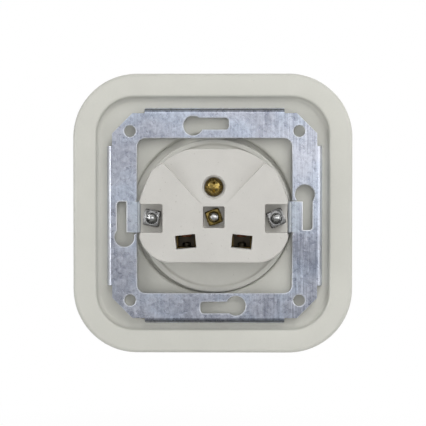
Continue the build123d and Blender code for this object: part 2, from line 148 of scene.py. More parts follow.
class SocketColours(bpy.types.PropertyGroup):
    """Linear colours of the finishes and of painted shade and highlights, and how worn the strap's plating
    is.
    """
    glaze: colour("Glaze", "Glazed frame", (0.600, 0.598, 0.548))
    insert_glaze: colour("Insert glaze", "Glazed insert", (0.610, 0.605, 0.560))
    steatite: colour("Steatite", "Pressed terminal block", (0.578, 0.565, 0.533))
    speck: colour("Speck", "Specks in the pressed ceramic", (0.30, 0.285, 0.25))
    # painted shade for the insert deep behind the wire windows
    window_shade_tint: colour("Window shade", "Painted shade behind the wire windows", (0.38, 0.31, 0.22))
    zinc_light: colour("Light zinc", "Bright crystals of the plating", (0.83, 0.865, 0.98))
    zinc_dark: colour("Dark zinc", "Dull crystals of the plating", (0.35, 0.375, 0.46))
    zinc_wear_highlight: colour("Zinc wear and highlight", "Worn edges and painted highlights of the strap", (0.93, 0.95, 0.98))
    # painted highlight on the bends of the strap's tabs
    zinc_tab_highlight: colour("Zinc tab highlight", "Painted highlight where the strap's tabs bend", (0.80, 0.91, 1.0))
    zinc_hue: colour("Zinc hue", "Bluer parts of the plating", (0.89, 0.955, 1.0))
    tab_wear_highlight: factor("Tab wear and highlight", "Wear and painted highlight where the tabs bend", 0.9)
    hole_wear: factor("Hole wear", "Wear round the punched holes", 0.55)
    fold_wear_highlight: factor("Fold wear and highlight", "Wear and painted highlight along the folds at the left and right", 0.35)
    zinc_plate: colour("Zinc plate", "Springs of the contacts", (0.92, 0.93, 0.93))
    side_screw: colour("Side screws", "Screws in the strap's tabs", (0.85, 0.86, 0.86))
    side_nut: colour("Side nuts", "Nuts on the side screws", (0.50, 0.50, 0.50))
    centre_screw: colour("Centre screw", "Screw in the middle pocket", (0.95, 0.95, 0.94))
    dull_steel: colour("Dull steel", "Clamp screws behind the wire windows", (0.24, 0.21, 0.16))
    brass: colour("Brass", "Brass of the earth link", (0.80, 0.62, 0.30))
    aged_brass: colour("Aged brass", "Dull brass of nut, earth screw and washer", (0.36, 0.265, 0.085))
    dark_brass: colour("Dark brass", "Oxidised brass of the terminals", (0.24, 0.17, 0.07))
    copper: colour("Copper", "Oxidised contact strip", (0.30, 0.13, 0.07))
    bronze: colour("Bronze", "Spring strip of the earth clips", (0.66, 0.55, 0.38))


class SocketStage(bpy.types.PropertyGroup):
    """Camera, lamps and floor."""
    camera_distance: length("Camera distance", "From the wall plane to the lens", 0.505)
    camera_side: length("Camera side", "Sideways place of the lens", -0.0077, low=-1.0)
    camera_rise: length("Camera rise", "Upright place of the lens", 0.0142, low=-1.0)
    aim_side: length("Aim side", "Sideways place of the picture's middle", 0.0005, low=-1.0)
    aim_rise: length("Aim rise", "Upright place of the picture's middle", 0.00093, low=-1.0)
    focal_length: bpy.props.FloatProperty(
        name="Focal length", description="In millimetres on a 36 mm sensor", default=128.4, min=10.0)
    floor_drop: length("Floor drop", "Height of the socket over the floor", 0.045)
    world_level: factor("World level", "Strength of the even light", 0.22, 5.0)
    key_power: factor("Key power", "Watts of the upper lamp", 2.2, 100.0)
    side_power: factor("Side power", "Watts of the lamp at the lit side", 0.5, 100.0)
    fill_power: factor("Fill power", "Watts of the lamp at the other side", 0.8, 100.0)
    front_power: factor("Front power", "Watts of the lamp by the lens", 1.1, 100.0)
    room_side_power: factor("Room side power", "Watts of the lamps before the socket's front", 2.8, 100.0)
    room_level: factor("Room level", "What metal reflects of the room", 0.86, 5.0)
    room_tilt: factor("Room tilt", "How much lighter the room's upper side is", 0.42)
    room_ends: factor("Room ends", "What metal reflects from above and below", 0.22)
    room_floor: factor("Room floor", "What metal reflects of the floor on the lens's side", 0.40)


def sizes():
    return bpy.context.scene.socket_sizes


def colours():
    return bpy.context.scene.socket_colours


# Shader building

class Value:
    """A node's output that takes part in arithmetic."""

    def __init__(self, shading, socket):
        self.shading = shading
        self.socket = socket

    def _math(self, operation, *values):
        return self.shading.node("ShaderNodeMath", {"operation": operation}, dict(enumerate(values)))

    def __abs__(self):
        return self._math("ABSOLUTE", self)

    def __add__(self, other):
        return self._math("ADD", self, other)

    def __radd__(self, other):
        return self._math("ADD", other, self)

    def __sub__(self, other):
        return self._math("SUBTRACT", self, other)

    def __rsub__(self, other):
        return self._math("SUBTRACT", other, self)

    def __mul__(self, other):
        return self._math("MULTIPLY", self, other)

    def __rmul__(self, other):
        return self._math("MULTIPLY", other, self)

    def __truediv__(self, other):
        return self._math("DIVIDE", self, other)

    def __pow__(self, other):
        return self._math("POWER", self, other)


class Shading:
    """A tree of shader or geometry nodes under construction."""

    def __init__(self, tree):
        self.tree = tree

    def node(self, kind, settings=None, inputs=None, out=0):
        """Add a node, set it up and return one of its outputs as a value."""
        made = self.tree.nodes.new(kind)
        for key, value in (settings or {}).items():
            if key == "stops":
                self.set_stops(made.color_ramp, value)
            else:
                setattr(made, key, value)
        for key, value in (inputs or {}).items():
            self.feed(made.inputs[key], value)
        return Value(self, made.outputs[out]) if made.outputs else None

    @staticmethod
    def set_stops(ramp, stops):
        while len(ramp.elements) < len(stops):
            ramp.elements.new(0.5)
        for element, (place, shade) in zip(ramp.elements, stops):
            element.position = place
            element.color = (shade, shade, shade, 1.0)

    def feed(self, socket, value):
        """Link a value to a socket, or set the socket to a constant."""
        if isinstance(value, Value):
            self.tree.links.new(value.socket, socket)
        elif hasattr(value, "__len__") and len(value) == 3 and socket.type == "RGBA":
            socket.default_value = (*value, 1.0)
        else:
            socket.default_value = value

    def smooth(self, value, low, high, first=0.0, last=1.0):
        """Ease from one level to another while a value runs between two bounds."""
        return self.node("ShaderNodeMapRange", {"interpolation_type": "SMOOTHSTEP"}, {
            "Value": value, "From Min": low, "From Max": high, "To Min": first, "To Max": last})

    def fade(self, value, low, high):
        """Ease from one to nothing while a value runs between two bounds."""
        return self.smooth(value, low, high, 1.0, 0.0)

    def split(self, place):
        """The three coordinates of a place."""
        return [self.node("ShaderNodeSeparateXYZ", None, {"Vector": place}, out=axis) for axis in "XYZ"]


class Finish(Shading):
    """A material under construction."""

    def __init__(self, name, roughness=0.5, metallic=0.0, coat=0.0):
        self.material = bpy.data.materials.new(name)
        self.material.use_nodes = True
        super().__init__(self.material.node_tree)
        self.shader = self.tree.nodes["Principled BSDF"]
        self.shader.inputs["Roughness"].default_value = roughness
        self.shader.inputs["Metallic"].default_value = metallic
        self.shader.inputs["Coat Weight"].default_value = coat
        self.place = self.node("ShaderNodeTexCoord", out="Object")

    def stretched(self, scale, turn=(0.0, 0.0, 0.0)):
        """Object coordinates with each axis scaled, for drawn-out patterns."""
        return self.node("ShaderNodeMapping", None, {
            "Vector": self.place, "Scale": scale, "Rotation": turn})

    def noise(self, per_metre, detail=2.0, rough=0.5, where=None, warp=0.0):
        return self.node("ShaderNodeTexNoise", None, {
            "Vector": where or self.place, "Scale": per_metre, "Detail": detail,
            "Roughness": rough, "Distortion": warp}, out="Fac")

    def ramp(self, value, *stops):
        return self.node("ShaderNodeValToRGB", {"stops": stops}, {"Fac": value})

    def mix(self, amount, first, second, blend="MIX"):
        """Mix two colours."""
        made = self.tree.nodes.new("ShaderNodeMix")
        made.data_type = "RGBA"
        made.blend_type = blend
        self.feed(made.inputs["Factor"], amount)
        self.feed(made.inputs[6], first)
        self.feed(made.inputs[7], second)
        return Value(self, made.outputs[2])

    def bump(self, height, distance, strength=1.0, under=None):
        inputs = {"Height": height, "Distance": distance, "Strength": strength}
        if under:
            inputs["Normal"] = under
        return self.node("ShaderNodeBump", None, inputs)

    def finish(self, **inputs):
        """Feed the shader's inputs, named with underscores for spaces."""
        for key, value in inputs.items():
            self.feed(self.shader.inputs[key.replace("_", " ")], value)
        return self.material


def shade(tint, amount):
    """A colour made darker or lighter by a factor."""
    return tuple(min(1.0, c * amount) for c in tint)


# Finishes

def glazed_ceramic(name, tint, window_shaded=False):
    """Satin glaze over a pressed body, with slight clouding, pinholes and, if asked, painted shade behind
    the wire windows.
    """
    f = Finish(name, roughness=0.4, coat=0.12)
    cloud = f.noise(70.0, detail=3.0, rough=0.55)
    fine = f.noise(1400.0, detail=2.0)
    body = f.mix(f.ramp(cloud, (0.3, 0.0), (0.7, 1.0)), shade(tint, 0.965), shade(tint, 1.02))
    body = f.mix(f.ramp(fine, (0.35, 0.0), (0.8, 0.35)), body, shade(tint, 0.93))
    pits = f.node("ShaderNodeTexVoronoi", {"feature": "F1"}, {
        "Vector": f.place, "Scale": 330.0, "Randomness": 1.0}, out="Distance")
    rare = f.noise(210.0, detail=0.0)
    pit = f.ramp(pits, (0.035, 1.0), (0.075, 0.0)) * f.ramp(rare, (0.66, 0.0), (0.70, 1.0))
    body = f.mix(pit * 0.35, body, shade(tint, 0.62))
    if window_shaded:
        # painted shade: the glaze seen deep inside the wire windows is darkened to brown
        body = f.mix(painted_window_shade(f), body, colours().window_shade_tint)
    roughness = 0.36 + 0.10 * cloud + 0.05 * fine
    peel = f.noise(520.0, detail=2.0, rough=0.4)
    wave = f.noise(60.0, detail=1.0)
    normal = f.bump(wave, 0.00030, 0.5)
    normal = f.bump(peel - pit * 0.8, 0.000035, 0.8, under=normal)
    return f.finish(Base_Color=body, Roughness=roughness, Normal=normal)


def painted_window_shade(f):
    """How much painted shade darkens the insert behind the wire windows at a place."""
    low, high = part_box("terminal_cage_right")
    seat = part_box("terminal_block")[0].y
    across, depth, rise = f.split(f.place)
    across = abs(across)
    spread = 0.8 * MM
    inside = f.smooth(across, low.x - spread, low.x) * f.fade(across, high.x, high.x + spread)
    inside = inside * f.smooth(rise, low.z - spread, low.z) * f.fade(rise, high.z, high.z + spread)
    return inside * f.smooth(depth, seat - spread, seat - spread / 2)


def steatite():
    """Unglazed pressed ceramic: matt, fine grained, with faint flow marks."""
    tint = colours().steatite
    f = Finish("steatite", roughness=0.6)
    cloud = f.noise(110.0, detail=4.0, rough=0.6)
    grain = f.noise(3600.0, detail=3.0, rough=0.7)
    flow = f.noise(240.0, detail=3.0, where=f.stretched((1.0, 0.35, 0.6), (0.0, 0.5, 0.0)), warp=0.6)
    body = f.mix(f.ramp(cloud, (0.3, 0.0), (0.72, 1.0)), shade(tint, 0.955), shade(tint, 1.025))
    body = f.mix(f.ramp(grain, (0.45, 0.0), (0.85, 0.4)), body, shade(tint, 0.84))
    specks = f.ramp(f.noise(1500.0, detail=1.0), (0.735, 0.0), (0.765, 1.0))
    body = f.mix(specks * 0.45, body, colours().speck)
    roughness = 0.54 + 0.12 * cloud + 0.08 * grain
    normal = f.bump(flow, 0.00012, 0.45)
    normal = f.bump(grain - specks * 0.7, 0.00003, 0.9, under=normal)
    return f.finish(Base_Color=body, Roughness=roughness, Normal=normal)


def zinc_sheet():
    """Zinc-plated sheet steel: cloudy blue-grey crystals under rolling marks, with painted light and shade
    on its right-hand side, its tabs and its folds.
    """
    c = colours()
    f = Finish("zinc_sheet", roughness=0.4, metallic=1.0)
    crystals = f.node("ShaderNodeTexVoronoi", {"feature": "SMOOTH_F1"}, {
        "Vector": f.place, "Scale": 900.0, "Randomness": 1.0, "Smoothness": 0.4}, out="Color")
    crystal = f.node("ShaderNodeSeparateColor", None, {"Color": crystals}, out="Red")
    blotch = f.noise(430.0, detail=5.0, rough=0.68, warp=0.7)
    broad = f.noise(70.0, detail=2.0)
    rolled = f.noise(1500.0, detail=3.0, rough=0.6, where=f.stretched((1.0, 1.0, 0.05)))
    fine = f.noise(1900.0, detail=2.0, rough=0.6)
    across, depth, rise = f.split(f.place)
    # on the right-hand side the rolling streaks are stronger, and painted light and shade make it lighter
    # high up and darker low down
    right_side_share = f.fade(across, -30.0 * MM, -8.0 * MM)
    height_share = rise * 14.3 + 0.5          # nought at the strap's foot, one at its top
    painted_light_by_height = f.ramp(height_share, (0.05, 0.5), (0.25, 0.3), (0.78, 0.75), (0.95, 0.55)) - 0.5
    tone = 0.18 * crystal + 0.8 * blotch + 0.8 * broad + 0.45 * fine - 0.61
    tone = tone + (0.4 + 0.9 * right_side_share) * (rolled - 0.5) + right_side_share * painted_light_by_height
    tone = f.ramp(tone, (0.20, 0.0), (0.80, 1.0))
    body = f.mix(tone, c.zinc_dark, c.zinc_light)
    hue = f.ramp(f.noise(75.0, detail=2.0), (0.44, 0.0), (0.60, 1.0))
    body = f.mix(hue * 0.7, body, c.zinc_hue, "MULTIPLY")
    stain = f.ramp(f.noise(620.0, detail=4.0, rough=0.75), (0.57, 0.0), (0.70, 1.0))
    body = f.mix(stain * 0.25, body, shade(c.zinc_dark, 0.6))
    worn = f.node("ShaderNodeAttribute", {"attribute_name": WEAR_HIGHLIGHT}, out="Fac")
    # worn edges, and a painted highlight on the bends of the tabs and of the left and right folds
    body = f.mix(worn * 0.9, body, c.zinc_wear_highlight)
    # painted highlight: the tabs' bends are lightened towards pale blue zinc
    body = f.mix(painted_tab_highlight(f, across, rise) * 0.35, body, c.zinc_tab_highlight)
    # painted shade: the upper and lower folds are darkened almost to black zinc
    body = f.mix(painted_fold_shade(f, depth, rise) * 0.8, body, shade(c.zinc_dark, 0.15))
    roughness = 0.20 + 0.12 * blotch + 0.08 * crystal + 0.10 * stain + 0.3 * worn
    normal = f.bump(rolled, 0.00002, 0.5)
    normal = f.bump(crystal * 0.6 + blotch, 0.00005, 0.5, under=normal)
    return f.finish(Base_Color=body, Roughness=roughness, Metallic=1.0 - 0.8 * worn, Normal=normal)


def painted_tab_highlight(f, across, rise):
    """Painted highlight where the sheet bends down into the strap's tabs."""
    out = abs(across)
    off = abs(rise - middle("strap_screw_right").z)
    return f.fade(out, 27.0 * MM, 29.5 * MM) * f.fade(off, 4.6 * MM, 5.8 * MM)


def painted_fold_shade(f, depth, rise):
    """Painted shade along the strap's upper and lower folds, where they turn away from the wall side."""
    low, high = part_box("mounting_strap")
    below = f.fade(rise, low.z + 0.3 * MM, low.z + 0.9 * MM)
    above = f.smooth(rise, high.z - 0.7 * MM, high.z - 0.2 * MM)
    return (below + above) * f.smooth(depth, high.y - 1.8 * MM, high.y - 1.0 * MM)


def turned_metal(name, tint, rough, spots=0.3, age=0.18, turned=None, height=None):
    """Metal with tool marks, dull patches, stains and, if asked, a form turned round a node's axis."""
    f = Finish(name, roughness=rough, metallic=1.0)
    marks = f.noise(5200.0, detail=2.0, where=f.stretched((1.0, 0.25, 1.0)))
    patch = f.noise(480.0, detail=3.0, rough=0.6)
    body = f.mix(f.ramp(patch, (0.35, 0.0), (0.7, 1.0)), shade(tint, 1.0 - age), shade(tint, 1.0 + age / 2))
    stain = f.ramp(f.noise(1100.0, detail=2.0), (0.54, 0.0), (0.66, 1.0))
    body = f.mix(stain * spots, body, shade(tint, 0.35))
    roughness = rough + 0.12 * (patch - 0.5) + 0.1 * (marks - 0.5) + 0.1 * stain
    normal = f.bump(marks, 0.00001, 0.6)
    normal = f.bump(patch, 0.00003, 0.4, under=normal)
    if turned:
        axis = middle(turned)
        there = f.node("ShaderNodeVectorMath", {"operation": "ABSOLUTE"}, {0: f.place})
        flat = f.node("ShaderNodeVectorMath", {"operation": "MULTIPLY"}, {0: there, 1: (1.0, 0.0, 1.0)})
        away = f.node("ShaderNodeVectorMath", {"operation": "DISTANCE"}, {
            0: flat, 1: (abs(axis.x), 0.0, abs(axis.z))}, out="Value")
        normal = f.bump(height(f, away), 1.0, 1.0, under=normal)
    return f.finish(Base_Color=body, Roughness=roughness, Normal=normal)


def dome(radius):
    """The height of a rounded end over the distance from its axis."""
    return lambda f, away: radius * (1.0 - (away * (1.0 / radius)) ** 2.0) ** 0.5


def countersink(inner, outer, depth):
    """The height of a nut's face, which sinks towards its bore."""
    return lambda f, away: f.smooth(away, inner, outer, -depth, 0.0)


def metal_looks():
    """What sets the metal finishes apart."""
    c = colours()
    return {
        "zinc_fastener": {"tint": c.zinc_plate, "rough": 0.22, "spots": 0.5},
        "side_screw": {"tint": c.side_screw, "rough": 0.2, "spots": 0.6, "age": 0.3,
                       "turned": "strap_screw_right", "height": dome(2.0 * MM)},
        "side_nut": {"tint": c.side_nut, "rough": 0.26, "spots": 0.6, "age": 0.35,
                     "turned": "strap_nut_right", "height": countersink(1.5 * MM, 2.2 * MM, 0.3 * MM)},
        "centre_screw": {"tint": c.centre_screw, "rough": 0.2, "spots": 0.6, "age": 0.3,
                         "turned": "centre_screw", "height": dome(2.4 * MM)},
        "centre_nut": {"tint": c.aged_brass, "rough": 0.26, "spots": 0.7, "age": 0.6,
                       "turned": "centre_nut", "height": countersink(1.5 * MM, 2.0 * MM, 0.25 * MM)},
        "earth_screw": {"tint": shade(c.aged_brass, 1.6), "rough": 0.18, "age": 0.5,
                        "turned": "earth_screw", "height": dome(3.5 * MM)},
        "brass": {"tint": c.brass, "rough": 0.24},
        "aged_brass": {"tint": c.aged_brass, "rough": 0.3, "spots": 0.8, "age": 0.6},
        "dull_steel": {"tint": c.dull_steel, "rough": 0.5, "spots": 0.5, "age": 0.4},
        "dark_brass": {"tint": c.dark_brass, "rough": 0.5, "spots": 0.6, "age": 0.4},
        "copper": {"tint": c.copper, "rough": 0.5, "spots": 0.6, "age": 0.4},
        "bronze": {"tint": c.bronze, "rough": 0.28, "spots": 0.12},
    }


FINISHES = {}


def finish_named(name):
    """Each finish is made once and shared by the pieces that have it."""
    if name not in FINISHES:
        c = colours()
        makers = {
            "frame_glaze": lambda: glazed_ceramic("frame_glaze", c.glaze),
            "insert_glaze": lambda: glazed_ceramic("insert_glaze", c.insert_glaze, window_shaded=True),
            "steatite": steatite,
            "zinc_sheet": zinc_sheet,
        }
        if name in makers:
            FINISHES[name] = makers[name]()
        else:
            FINISHES[name] = turned_metal(name, **metal_looks()[name])
    return FINISHES[name]


# Mesh helpers

def new_piece(name, mesh, finish, slot, *nodes):
    """Put a finished mesh in the scene in place of its construction nodes."""
    piece = bpy.data.objects.new(name, mesh)
    bpy.context.collection.objects.link(piece)
    mesh.materials.clear()
    mesh.materials.append(finish_named(finish))
    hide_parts(*nodes)
    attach(piece, BODY)
    return piece


def merged_copy(node):
    """The node's faces as one connected mesh with flat regions joined up."""
    merge_distance = 1e-6
    flat_angle = math.radians(0.4)
    bm = bmesh.new()
    bm.from_mesh(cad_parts[node].data)
    bmesh.ops.remove_doubles(bm, verts=bm.verts, dist=merge_distance)
    bmesh.ops.dissolve_degenerate(bm, edges=bm.edges, dist=merge_distance)
    bmesh.ops.dissolve_limit(bm, angle_limit=flat_angle, verts=bm.verts, edges=bm.edges)
    bmesh.ops.recalc_face_normals(bm, faces=bm.faces)
    return bm


def evaluated(piece):
    """The piece's mesh with its modifiers applied."""
    depsgraph = bpy.context.evaluated_depsgraph_get()
    return bpy.data.meshes.new_from_object(piece.evaluated_get(depsgraph))


def rounded_mesh(bm, name, width, sharp=SHARP_FROM, share_at=None):
    """Round every edge sharper than an angle, by a share that depends on its place."""
    weight = bm.edges.layers.float.new("bevel_weight_edge")
    low = Vector(min(v.co[i] for v in bm.verts) for i in range(3))
    high = Vector(max(v.co[i] for v in bm.verts) for i in range(3))
    for edge in bm.edges:
        if edge.is_manifold and edge.calc_face_angle(0) > math.radians(sharp):
            edge[weight] = share_at(edge) if share_at else 1.0
    mesh = bpy.data.meshes.new(name)
    bm.to_mesh(mesh)
    bm.free()
    for polygon in mesh.polygons:
        polygon.use_smooth = True
    work = bpy.data.objects.new(name + "_work", mesh)
    bpy.context.collection.objects.link(work)
    bevel = work.modifiers.new("edges", "BEVEL")
    bevel.width = width
    bevel.segments = 2
    bevel.limit_method = "WEIGHT"
    bevel.use_clamp_overlap = False
    bevel.loop_slide = False
    shading = work.modifiers.new("shading", "WEIGHTED_NORMAL")
    shading.mode = "FACE_AREA"
    shading.weight = 80
    result = evaluated(work)
    bpy.data.objects.remove(work)
    bpy.data.meshes.remove(mesh)
    for v in result.vertices:
        v.co = [min(max(v.co[i], low[i]), high[i]) for i in range(3)]
    result.name = name
    return result


def softened_piece(node, width, finish, slot, sharp=SHARP_FROM, share_at=None, reshape=None):
    """A node's own form with its edges rounded as the real material's are."""
    bm = merged_copy(node)
    if reshape:
        reshape(bm)
    mesh = rounded_mesh(bm, node + "_finished", width, sharp, share_at)
    return new_piece(node + "_finished", mesh, finish, slot, node)


def middle(node):
    low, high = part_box(node)
    return (low + high) / 2


# Pieces

def square_radius(angle, half, corner):
    """Distance to a rounded square's outline in one direction."""
    turn = abs((angle + math.pi / 4) % (math.pi / 2) - math.pi / 4)
    edge = half - corner
    if half * math.tan(turn) <= edge:
        return half / math.cos(turn)
    along = edge * (math.cos(turn) + math.sin(turn))
    inside = along * along - 2 * edge * edge + corner * corner
    return along + math.sqrt(max(0.0, inside))


class SOCKET_OT_cover_frame(bpy.types.Operator):
    """Make the glazed ceramic frame from loops between its hole and its rim"""
    bl_idname = "socket.cover_frame"
    bl_label = "Ceramic frame"

    def execute(self, context):
        s = sizes()
        low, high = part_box("cover_frame")
        half = (high.x - low.x) / 2
        strap_low, strap_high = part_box("mounting_strap")
        floor = strap_low.y
        ledge = floor - s.ledge_thickness
        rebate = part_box("socket_insert")[1].x - s.hidden_step
        hole = rebate - s.ledge_reach
        lip = 0.5 * MM

        # the front, from the hole outwards
        start = (rebate + lip, rebate + lip, low.y)
        loops = arc_loops(rebate + lip, rebate + lip, low.y + lip, lip, 180, 270, 3)
        turn = s.frame_front_round
        front = (half - turn, s.outline_corner - turn, low.y)
        loops += loops_between(start, front, 0.33, 0.67)
        loops += arc_loops(front[0], front[1], low.y + turn, turn, -90, 0, 18)

        # the rim that lies on the wall
        turn = s.frame_back_round
        rim = (half - turn, s.outline_corner - turn, high.y)
        loops += arc_loops(rim[0], rim[1], high.y - turn, turn, 0, 90, 6)
        inner = strap_high.x + s.recess_gap
        turn = s.rim_inner_round
        edge = (inner + turn, s.recess_corner + turn, high.y)
        loops += loops_between(rim, edge, 0.5)
        loops += arc_loops(edge[0], edge[1], high.y - turn, turn, 90, 180, 6)

        # the floor of the recess, from its foot to the ledge in the hole
        turn = s.recess_floor_round
        foot = (inner - turn, s.recess_corner - turn, floor)
        loops += arc_loops(foot[0], foot[1], floor + turn, turn, 0, -90, 7)
        turn = s.hole_round
        mouth = (hole + turn, hole + turn, floor)
        loops += loops_between(foot, mouth, 0.3, 0.6, 0.9)
        loops += arc_loops(mouth[0], mouth[1], floor - turn, turn, 90, 180, 5)
        turn = lip / 2
        loops += arc_loops(hole + turn, hole + turn, ledge + turn, turn, 180, 270, 2)
        loops.append((rebate, rebate, ledge))
        mesh = loft("ceramic_frame", loops, s.frame_points, middle("cover_frame"))
        new_piece("ceramic_frame", mesh, "frame_glaze", "glazed_ceramic", "cover_frame")
        return {"FINISHED"}


def arc_loops(size, corner, depth, radius, first, last, steps):
    """Loops along a rounding whose middle lies at a size and a depth."""
    loops = []
    for step in range(steps + 1):
        angle = math.radians(first + (last - first) * step / steps)
        out = radius * math.cos(angle)
        loops.append((size + out, corner + out, depth + radius * math.sin(angle)))
    return loops


def loops_between(first, last, *shares):
    """Loops on the straight way from one loop to another."""
    return [tuple(a + (b - a) * share for a, b in zip(first, last)) for share in shares]


def loft(name, loops, points, centre):
    """Join closed loops of rounded squares into a ring-shaped body."""
    bm = bmesh.new()
    rows = []
    for size, corner, depth in loops:
        row = []
        for index in range(points):
            angle = 2 * math.pi * (index + 0.5) / points
            reach = square_radius(angle, size, min(corner, size))
            x = centre.x + reach * math.cos(angle)
            z = centre.z + reach * math.sin(angle)
            row.append(bm.verts.new((x, depth, z)))
        rows.append(row)
    for row, other in zip(rows, rows[1:] + rows[:1]):
        for index in range(points):
            after = (index + 1) % points
            bm.faces.new((row[index], row[after], other[after], other[index]))
    bmesh.ops.recalc_face_normals(bm, faces=bm.faces)
    mesh = bpy.data.meshes.new(name)
    bm.to_mesh(mesh)
    bm.free()
    for polygon in mesh.polygons:
        polygon.use_smooth = True
    mesh.set_sharp_from_angle(angle=math.radians(40.0))
    return mesh


class SOCKET_OT_insert(bpy.types.Operator):
    """Make the glazed insert with the plug well"""
    bl_idname = "socket.insert"
    bl_label = "Ceramic insert"

    def execute(self, context):
        softened_piece("socket_insert", sizes().ceramic_edge, "insert_glaze", "glazed_ceramic")
        return {"FINISHED"}


class SOCKET_OT_block(bpy.types.Operator):
    """Make the pressed terminal block"""
    bl_idname = "socket.block"
    bl_label = "Terminal block"

    def execute(self, context):
        s = sizes()
        lip_angle = 60.0
        seat_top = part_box("terminal_block")[0].y + 1.4 * MM          # edges below it stay sharp
        bore_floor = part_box("earth_screw")[1].y
        bore = middle("earth_screw")

        def share_at(edge):
            if min(v.co.y for v in edge.verts) < seat_top:
                return 0.0
            if all(v.co.y > bore_floor and aside(v, bore) < BORE_RADIUS + 0.1 * MM for v in edge.verts):
                return 1.0
            return s.block_edge_share

        softened_piece("terminal_block", s.bore_mouth, "steatite", "steatite", lip_angle, share_at,
                       reshape=self.step_counterbore)
        return {"FINISHED"}

    @staticmethod
    def step_counterbore(bm):
        """Lift the outer ring of the counterbore's floor to just below the screw's top."""
        s = sizes()
        bore = middle("earth_screw")
        slack = 0.05 * MM
        wall = 0.02 * MM
        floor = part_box("earth_washer")[0].y
        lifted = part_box("earth_screw")[1].y - s.ring_drop

        def at_floor(v):
            return abs(v.co.y - floor) < slack and aside(v, bore) < BORE_RADIUS + slack

        faces = [face for face in bm.faces if all(at_floor(v) for v in face.verts)]
        for width in (s.ring_width, wall):
            bmesh.ops.inset_region(bm, faces=faces, thickness=width, use_boundary=True, use_even_offset=True)
        inner = BORE_RADIUS - s.ring_width - wall / 2
        for v in bm.verts:
            if at_floor(v) and aside(v, bore) > inner:
                v.co.y = lifted


def aside(v, axis):
    """How far a vertex is from an axis into the wall."""
    return math.hypot(v.co.x - axis.x, v.co.z - axis.z)


class SOCKET_OT_strap(bpy.types.Operator):
    """Make the zinc-plated mounting strap with its sheared edges"""
    bl_idname = "socket.strap"
    bl_label = "Mounting strap"

    def execute(self, context):
        s = sizes()
        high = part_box("mounting_strap")[1]
        folds = high.x - FOLD_REACH
        skin = high.y - 0.01 * MM

        def share_at(edge):
            punched = all(v.co.y > skin and max(abs(v.co.x), abs(v.co.z)) < folds for v in edge.verts)
            return 1.0 if punched else s.fold_edge_share

        piece = softened_piece("mounting_strap", s.sheet_edge, "zinc_sheet", "zinc_steel",
                               share_at=share_at, reshape=self.bend_sheet)
        self.mark_wear_and_highlight(piece.data, high.y - s.sheet_edge, folds)
        return {"FINISHED"}

    @staticmethod
    def mark_wear_and_highlight(mesh, skin, folds):
        """Note on each face how worn its plating is; the bends of the tabs and of the side folds also get a
        painted highlight.
        """
        c = colours()
        worn = mesh.attributes.new(WEAR_HIGHLIGHT, "FLOAT", "FACE")
        axis_z = middle("strap_screw_right").z
        bend = TAB_FACE - sizes().tab_move - 0.3 * MM
        leaning = 0.97
        for face in mesh.polygons:
            x, y, z = face.center
            up = face.normal.y
            on_tab = abs(z - axis_z) < TAB_HALF + 0.2 * MM and bend < abs(x) < folds
            punched = max(abs(x), abs(z)) < folds and y > skin
            # tabs and left and right folds: wear and a painted highlight; punched holes: wear
            if on_tab and -0.1 < up < leaning:
                worn.data[face.index].value = c.tab_wear_highlight
            elif punched and 0.2 < up < leaning:
                worn.data[face.index].value = c.hole_wear
            elif abs(x) > folds and 0.15 < up < leaning:
                worn.data[face.index].value = c.fold_wear_highlight

    @classmethod
    def bend_sheet(cls, bm):
        """Change the sheet's bends to what the photo shows."""
        axis_z = middle("strap_screw_right").z
        cls.shorten_reliefs(bm, axis_z)
        cls.draw_tabs_in(bm, axis_z)
        cls.flare_flanges(bm)

    @staticmethod
    def shorten_reliefs(bm, axis_z):
        """Pull the ends of the tabs' side cuts back to where the bend begins."""
        slack = 0.3 * MM
        for v in bm.verts:
            beside = TAB_HALF - slack < abs(v.co.z - axis_z) < TAB_HALF + slack
            if beside and abs(abs(v.co.x) - CUT_END) < 0.02 * MM:
                v.co.x = math.copysign(OPENING_HALF + sizes().relief_depth, v.co.x)

    @staticmethod
    def draw_tabs_in(bm, axis_z):
        """Move the tabs' bends closer to the block."""
        s = sizes()
        foot_from = TAB_FACE - 2.7 * MM
        foot_to = TAB_FACE - 0.7 * MM
        bend_start = OPENING_HALF + s.relief_depth + 0.15 * MM
        for v in bm.verts:
            out = abs(v.co.x)
            off = abs(v.co.z - axis_z)
            on_tab = off < TAB_HALF + 0.02 * MM
            at_cut_end = off < TAB_HALF + 0.3 * MM and out > OPENING_HALF + 0.2 * MM
            if foot_from < out < bend_start and (on_tab or at_cut_end):
                share = min(1.0, (out - foot_from) / (foot_to - foot_from))
                v.co.x -= math.copysign(s.tab_move * share, v.co.x)

    @staticmethod
    def flare_flanges(bm):
        """Lean the flanges outwards, as the press leaves them."""
        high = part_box("mounting_strap")[1]
        bend_end = high.y - FOLD_RADIUS
        for v in bm.verts:
            past = bend_end - v.co.y
            for axis in (0, 2):
                if past > 0 and abs(v.co[axis]) > high.x - FOLD_REACH:
                    v.co[axis] += math.copysign(past * math.tan(sizes().flange_flare), v.co[axis])


class SOCKET_OT_nuts(bpy.types.Operator):
    """Make the square nuts in their pockets"""
    bl_idname = "socket.nuts"
    bl_label = "Square nuts"

    def execute(self, context):
        s = sizes()
        corner_run = 0.2 * MM

        def share_at(edge):
            low, high = sorted(v.co.y for v in edge.verts)
            return 1.0 if high - low > corner_run else s.nut_edge_share

        softened_piece("centre_nut", s.nut_corner, "centre_nut", "brass", share_at=share_at)
        for side in ("right", "left"):
            softened_piece("strap_nut_" + side, s.nut_corner, "side_nut", "zinc_steel", share_at=share_at)
        return {"FINISHED"}


